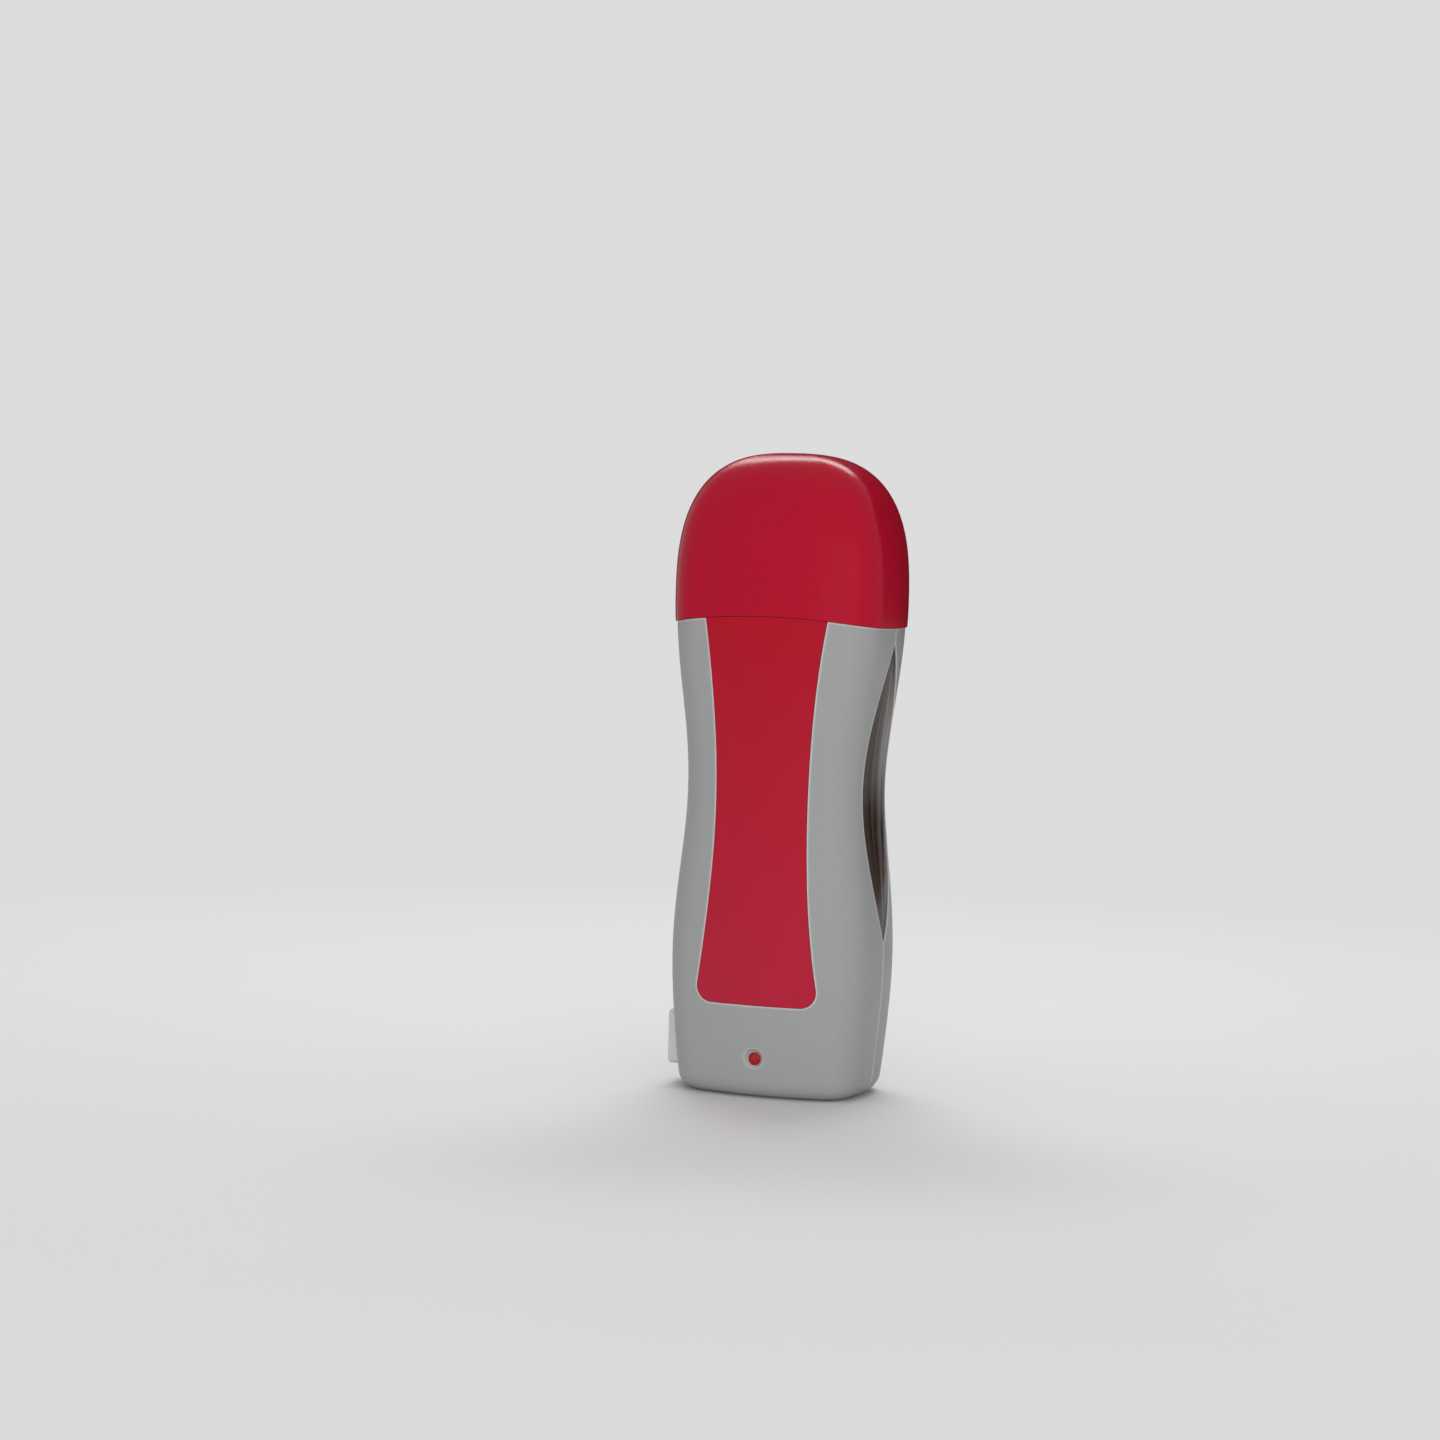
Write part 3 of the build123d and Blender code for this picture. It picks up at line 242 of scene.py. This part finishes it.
def insulated(name, colour):
    """Extruded insulation of a lead."""
    look = Look(name)
    look.colour(look.drift(look.noise(60, detail=3), colour, 0.85, 1.12))
    look.rough(look.level(look.noise(300, detail=3), 0.42, 0.58, *SPREAD))
    look.relief(look.noise(1200, detail=2), 20 * MICRON)
    return look


# ---------------------------------------------------------------------------------------------
# Finishes of single pieces
# ---------------------------------------------------------------------------------------------
def smoked_window():
    """Tinted clear plastic with paler bands of painted reflection that fan from tip to tip, as the window's
    outline does, dimmed towards the front by painted shade.
    """
    smoke, painted_reflection = (0.022, 0.013, 0.009), (0.150, 0.110, 0.090)
    narrowest = 0.15             # the share of its width that the fan keeps at the tips
    lengthwise = 0.02            # how fast a band of painted reflection changes along the window, against across it
    look = Look("smoked_window_plastic", IOR=1.40, Transmission_Weight=0.12, Specular_IOR_Level=0.16)
    foot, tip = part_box("side_window")
    rise = look.level(look.axis("Z"), -1.0, 1.0, foot[2], tip[2])
    bulge = look.maths("SUBTRACT", 1.0, look.maths("MULTIPLY", rise, rise))
    fan = look.maths("DIVIDE", look.axis("Y"), look.maths("MAXIMUM", bulge, narrowest))
    along = look.maths("MULTIPLY", look.axis("Z"), lengthwise)
    # Painted reflection: paler bands laid into the tint's colour.
    reflection_pattern = look.noise(330, detail=2, roughness=0.5, at=look.point(0.0, fan, along))
    painted_reflections = look.level(reflection_pattern, 0.0, 1.0, start=0.46, stop=0.70)
    # Painted shade: the bands of painted reflection are dimmed towards the front edge.
    painted_shade_in_front = look.level(fan, 0.2, 1.0, start=-0.0105, stop=-0.006)
    look.colour(look.blend(look.maths("MULTIPLY", painted_reflections, painted_shade_in_front), smoke, painted_reflection))
    look.rough(look.level(look.noise(90, detail=3), 0.10, 0.20, *SPREAD))
    look.relief(look.noise(160, detail=1), 10 * MICRON)
    return look


def clear_red_lens():
    """Clear red plastic with fine facets from its mould."""
    deep, clear = (0.22, 0.0015, 0.005), (0.36, 0.004, 0.010)
    look = Look("indicator_red_lens", IOR=1.49, Specular_IOR_Level=0.3, Coat_Weight=0.2, Coat_Roughness=0.05)
    look.colour(look.blend(look.noise(900, detail=2), deep, clear))
    look.rough(look.level(look.noise(700, detail=2), 0.10, 0.20, *SPREAD))
    look.relief(look.cells(1500), 30 * MICRON)
    return look


def lamp_body():
    """Diffused red body of the indicator lamp."""
    deep, pale = (0.50, 0.02, 0.02), (0.68, 0.04, 0.04)
    look = Look("indicator_lamp_body", Transmission_Weight=0.4, Roughness=0.35)
    look.colour(look.blend(look.noise(500, detail=2), deep, pale))
    look.relief(look.noise(1500, detail=1), 10 * MICRON)
    return look


def ceramic():
    """Matt white ceramic with a fine speckle."""
    speck, body = (0.62, 0.59, 0.52), (0.84, 0.82, 0.77)
    look = Look("heater_ceramic")
    look.colour(look.blend(look.level(look.cells(1300), 0.0, 1.0, start=0.12, stop=0.34), speck, body))
    look.rough(look.level(look.noise(400, detail=3), 0.62, 0.80, *SPREAD))
    look.relief(look.noise(1800, detail=3), 40 * MICRON)
    return look


def pressed_mica():
    """Flakes pressed flat, each with its own tone and gloss."""
    dark, pale = (0.34, 0.25, 0.14), (0.66, 0.56, 0.38)
    look = Look("mica_flakes")
    flakes = look.cells(420, output="Color", stretch=(1, 0.2, 1))
    look.colour(look.blend(flakes, dark, pale))
    look.rough(look.level(flakes, 0.28, 0.62))
    look.relief(flakes, 30 * MICRON)
    return look


def coated_board():
    """Green coating over tracks that run across and up the board."""
    bare, track, stain = (0.012, 0.105, 0.035), (0.035, 0.230, 0.085), (0.010, 0.080, 0.030)
    look = Look("coated_board")
    tracks = look.add("ShaderNodeTexBrick", offset=0.5)
    look.feed(tracks.inputs["Vector"], look.space(turn=(radians(90), 0, 0)))
    for key, value in (("Scale", 260.0), ("Mortar Size", 0.06), ("Brick Width", 1.4), ("Row Height", 0.5)):
        tracks.inputs[key].default_value = value
    stained = look.level(look.noise(300, detail=3), 0.0, 0.4, start=0.4, stop=0.7)
    look.colour(look.blend(stained, look.blend(tracks.outputs["Fac"], bare, track), stain))
    look.rough(look.level(look.noise(500, detail=2), 0.25, 0.38, *SPREAD))
    look.relief(tracks.outputs["Fac"], 40 * MICRON)
    return look


def component_cases():
    """Dark moulded cases of the terminal block, the capacitor and the resistor."""
    dark, dull = (0.035, 0.035, 0.038), (0.075, 0.075, 0.080)
    look = Look("component_cases")
    look.colour(look.blend(look.noise(700, detail=3), dark, dull))
    look.rough(look.level(look.noise(300, detail=3), 0.35, 0.55, *SPREAD))
    look.relief(look.noise(1600, detail=2), 30 * MICRON)
    return look


def waxed_roller():
    """Smooth white plastic with streaks of a thin film of wax around it."""
    white, waxed = (0.74, 0.735, 0.72), (0.72, 0.55, 0.30)
    look = Look("roller_white_plastic", Coat_Weight=0.3, Coat_Roughness=0.1)
    smears = look.noise(130, detail=4, roughness=0.6, stretch=(1, 0.35, 0.35))
    film = look.level(smears, 0.0, 0.55, start=0.52, stop=0.66)
    look.colour(look.blend(film, white, waxed))
    look.rough(look.level(film, 0.30, 0.16, start=0.0, stop=0.5))
    look.relief(film, 50 * MICRON)
    return look


def honey_wax():
    """Honey-coloured wax, cloudy where it cooled, with fine bubbles."""
    clear, cloudy, bubble = (0.52, 0.25, 0.045), (0.78, 0.50, 0.16), (0.90, 0.72, 0.40)
    look = Look("honey_wax", Subsurface_Weight=0.35, Subsurface_Scale=0.004, IOR=1.45, Coat_Weight=0.2)
    look.shader.inputs["Subsurface Radius"].default_value = (1.0, 0.55, 0.2)
    cloud = look.blend(look.noise(60, detail=5, roughness=0.6), clear, cloudy)
    bubbles = look.level(look.cells(900), 1.0, 0.0, start=0.05, stop=0.16)
    look.colour(look.blend(look.maths("MULTIPLY", bubbles, 0.5), cloud, bubble))
    look.rough(look.level(look.noise(120, detail=3), 0.20, 0.42, *SPREAD))
    look.relief(look.noise(140, detail=3), 150 * MICRON)
    return look


# ---------------------------------------------------------------------------------------------
# The finish of each node
# ---------------------------------------------------------------------------------------------
GREY = (0.276, 0.282, 0.280)
RED_CAP = (0.360, 0.0030, 0.0200)
RED_INLAY = (0.356, 0.0100, 0.0320)
# The darker red that the inlay turns to higher up is painted shade.
RED_INLAY_PAINTED_SHADE = (0.342, 0.0010, 0.0125)
WELL_DARK = (0.085, 0.085, 0.09)
INLET_PALE = (0.50, 0.51, 0.515)
CARTRIDGE_DARK = (0.075, 0.076, 0.08)
HEAD_PALE = (0.56, 0.56, 0.565)
ALUMINIUM = (0.78, 0.79, 0.80)
SPRING_STEEL = (0.55, 0.55, 0.57)
FUSE_CAN = (0.70, 0.70, 0.71)
PIN_PLATING = (0.74, 0.73, 0.70)
SCREW_PLATING = (0.58, 0.58, 0.60)
LEAD_BROWN = (0.13, 0.045, 0.02)
LEAD_BLUE = (0.02, 0.07, 0.33)
LEAD_WHITE = (0.72, 0.72, 0.69)

# The inlay is painted darker towards its top, a painted shade, and stays paler lower down.
inlay_foot, inlay_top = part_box("front_inlay")
inlay_painted_shade = (RED_INLAY_PAINTED_SHADE, inlay_foot[2], inlay_top[2])

# The shell's edges are painted much paler over a wide band: mostly a painted highlight along them.
shell = moulded("shell_grey_plastic", GREY, 0.40, edge=2.1, edge_width=0.0013, catch=0.9, Specular_IOR_Level=0.35)
plate = metal("heater_aluminium", ALUMINIUM, 0.34, stretch=(0.04, 1, 1))
spring = metal("spring_steel", SPRING_STEEL, 0.28, stretch=(0.03, 0.03, 1))
white_lead = insulated("lead_white", LEAD_WHITE)
heater = ceramic()
mica = pressed_mica()

looks = {
    "front_shell": shell,
    "rear_shell": shell,
    "cap": polished("cap_red_plastic", RED_CAP, 0.21, Specular_IOR_Level=0.13),
    "front_inlay": polished("inlay_red_plastic", RED_INLAY, 0.34, inlay_painted_shade, Specular_IOR_Level=0.2),
    "side_window": smoked_window(),
    "indicator_lens": clear_red_lens(),
    "indicator_led": lamp_body(),
    "control_board": coated_board(),
    "board_components": component_cases(),
    "inlet_housing": moulded("inlet_light_plastic", INLET_PALE, 0.46, grain=1200),
    "inlet_pins": metal("plated_pins", PIN_PLATING, 0.20, stretch=(0.05, 1, 1)),
    "inlet_lead_live": insulated("lead_brown", LEAD_BROWN),
    "inlet_lead_neutral": insulated("lead_blue", LEAD_BLUE),
    "heater_lead_front": white_lead,
    "heater_lead_rear": white_lead,
    "case_screws": metal("plated_screws", SCREW_PLATING, 0.30),
    "cartridge_well": moulded("well_dark_plastic", WELL_DARK, 0.55, grain=900),
    "front_heater_plate": plate,
    "rear_heater_plate": plate,
    "front_ceramic_heater": heater,
    "rear_ceramic_heater": heater,
    "front_mica_sheet": mica,
    "rear_mica_sheet": mica,
    "front_leaf_spring": spring,
    "rear_leaf_spring": spring,
    "thermal_fuse": metal("fuse_can", FUSE_CAN, 0.30, stretch=(1, 1, 0.1)),
    "cartridge_body": polished("cartridge_dark_plastic", CARTRIDGE_DARK, 0.33),
    "cartridge_head": moulded("cartridge_head_plastic", HEAD_PALE, 0.36, grain=2200, depth=20 * MICRON),
    "roller": waxed_roller(),
    "wax_fill": honey_wax(),
}
for name, look in looks.items():
    for slot in nodes[name].material_slots:
        slot.link = "OBJECT"
        slot.material = look.material

# ---------------------------------------------------------------------------------------------
# Studio
# ---------------------------------------------------------------------------------------------
MIDDLE = Vector((0.0, 0.0, 0.101))        # of the part
PALE = (0.72, 0.72, 0.72)
AMBIENT = 0.40
FLOOR_RADIUS = 6.0
FLOOR_SIDES = 96
FLOOR_DROP = 0.0002                       # keeps the floor's face off the part's underside
FLOOR_FADE = (0.18, 0.60)                 # distances from the part between which it turns into backdrop


def place(name, data):
    thing = bpy.data.objects.new(name, data)
    bpy.context.scene.collection.objects.link(thing)
    return thing


def towards(azimuth, elevation):
    """The direction from the part to a viewer. Azimuth 0 is in front, 90 is on the right."""
    a, e = radians(azimuth), radians(elevation)
    return Vector((sin(a) * cos(e), -cos(a) * cos(e), sin(e)))


def aim_at_middle(thing, azimuth, elevation, distance):
    """Puts a lamp or a card out from the middle of the part, facing it."""
    back = towards(azimuth, elevation)
    thing.location = MIDDLE + back * distance
    thing.rotation_euler = back.to_track_quat("Z", "Y").to_euler()


def pale_floor():
    """A floor that keeps the part's shadow near it and turns into the backdrop further out."""
    turns = [2 * pi * side / FLOOR_SIDES for side in range(FLOOR_SIDES)]
    corners = [(FLOOR_RADIUS * cos(turn), FLOOR_RADIUS * sin(turn), 0) for turn in turns]
    mesh = bpy.data.meshes.new("floor")
    mesh.from_pydata(corners, [], [list(range(FLOOR_SIDES))])
    floor = place("floor", mesh)
    floor.location.z = -FLOOR_DROP

    look = Look("pale_floor", Roughness=0.8, Specular_IOR_Level=0.1)
    look.colour(look.drift(look.noise(6, detail=3), PALE, 0.985, 1.01))
    far = look.add("ShaderNodeEmission")
    far.inputs["Color"].default_value = (*PALE, 1.0)
    reach = look.add("ShaderNodeVectorMath", operation="LENGTH")
    look.feed(reach.inputs[0], look.where)
    fade = look.maths("MULTIPLY", look.level(reach.outputs["Value"], 0.0, 1.0, *FLOOR_FADE), look.is_seen())
    look.merge("Material Output", fade, look.shader.outputs[0], far.outputs[0])
    mesh.materials.append(look.material)


def studio_world():
    """Even white light all round. What is seen of it is the pale backdrop."""
    world = bpy.data.worlds.new("studio")
    world.use_nodes = True
    sky = Nodes(world.node_tree)
    ambient = sky.tree.nodes["Background"]
    ambient.inputs["Color"].default_value = (1.0, 1.0, 1.0, 1.0)
    ambient.inputs["Strength"].default_value = AMBIENT
    backdrop = sky.add("ShaderNodeBackground")
    backdrop.inputs["Color"].default_value = (*PALE, 1.0)
    backdrop.inputs["Strength"].default_value = 1.0
    sky.merge("World Output", sky.is_seen(), ambient.outputs[0], backdrop.outputs[0])
    bpy.context.scene.world = world


def softbox(name, azimuth, elevation, distance, width, height, power, mirrored=True):
    """An area lamp. One that isn't mirrored shows in no reflection."""
    data = bpy.data.lights.new(name, "AREA")
    data.shape = "RECTANGLE"
    data.size, data.size_y = width, height
    data.energy = power
    lamp = place(name, data)
    aim_at_middle(lamp, azimuth, elevation, distance)
    lamp.visible_glossy = mirrored


def flag(name, azimuth, elevation, distance, width, height):
    """A black card that only reflections see. It gives the gloss dark sides, as in a studio."""
    soot, charcoal = (0.010, 0.010, 0.010), (0.016, 0.016, 0.016)
    w, h = width / 2, height / 2
    mesh = bpy.data.meshes.new(name)
    mesh.from_pydata([(-w, -h, 0), (w, -h, 0), (w, h, 0), (-w, h, 0)], [], [(0, 1, 2, 3)])
    card = place(name, mesh)
    aim_at_middle(card, azimuth, elevation, distance)
    card.visible_camera = False
    card.visible_diffuse = False
    card.visible_shadow = False
    card.visible_transmission = False
    black = Look(name + "_black", Roughness=0.9, Specular_IOR_Level=0.0)
    black.colour(black.blend(black.noise(4, detail=2), soot, charcoal))
    mesh.materials.append(black.material)


pale_floor()
studio_world()
softbox("front", azimuth=27, elevation=6, distance=2.0, width=1.6, height=0.8, power=17.2, mirrored=False)
softbox("low", azimuth=12, elevation=-2, distance=1.3, width=0.5, height=0.10, power=5.0, mirrored=False)
softbox("rim", azimuth=200, elevation=54, distance=1.3, width=1.2, height=0.3, power=7.0)
softbox("top", azimuth=20, elevation=84, distance=1.6, width=1.2, height=1.2, power=5.0, mirrored=False)
softbox("back", azimuth=200, elevation=40, distance=1.8, width=1.2, height=1.0, power=7.0)
flag("rear_flag", azimuth=178, elevation=9, distance=1.3, width=3.2, height=1.5)

# ---------------------------------------------------------------------------------------------
# Camera
# ---------------------------------------------------------------------------------------------
AZIMUTH, ELEVATION, ROLL = 20.0, 4.0, 1.5
DISTANCE = 1.083
LENS, SENSOR = 85.0, 36.0                 # millimetres
FRAME_PIXELS = 1440.0
OFF_X, OFF_Y = 69.0, 51.0                 # pixels from the picture's centre right and down to the middle

data = bpy.data.cameras.new("camera")
data.sensor_width = SENSOR
data.lens = LENS
camera = place("camera", data)
back = towards(AZIMUTH, ELEVATION)
right = Vector((cos(radians(AZIMUTH)), sin(radians(AZIMUTH)), 0.0))
up = back.cross(right)
eye = MIDDLE + back * DISTANCE
pixel = DISTANCE / (LENS / SENSOR * FRAME_PIXELS)
aim = MIDDLE - right * OFF_X * pixel + up * OFF_Y * pixel
level_view = (eye - aim).normalized().to_track_quat("Z", "Y").to_matrix()
rolled_view = level_view @ Matrix.Rotation(radians(ROLL), 3, "Z")
camera.matrix_world = Matrix.Translation(eye) @ rolled_view.to_4x4()
bpy.context.scene.camera = camera
bpy.context.scene.view_settings.view_transform = "Standard"
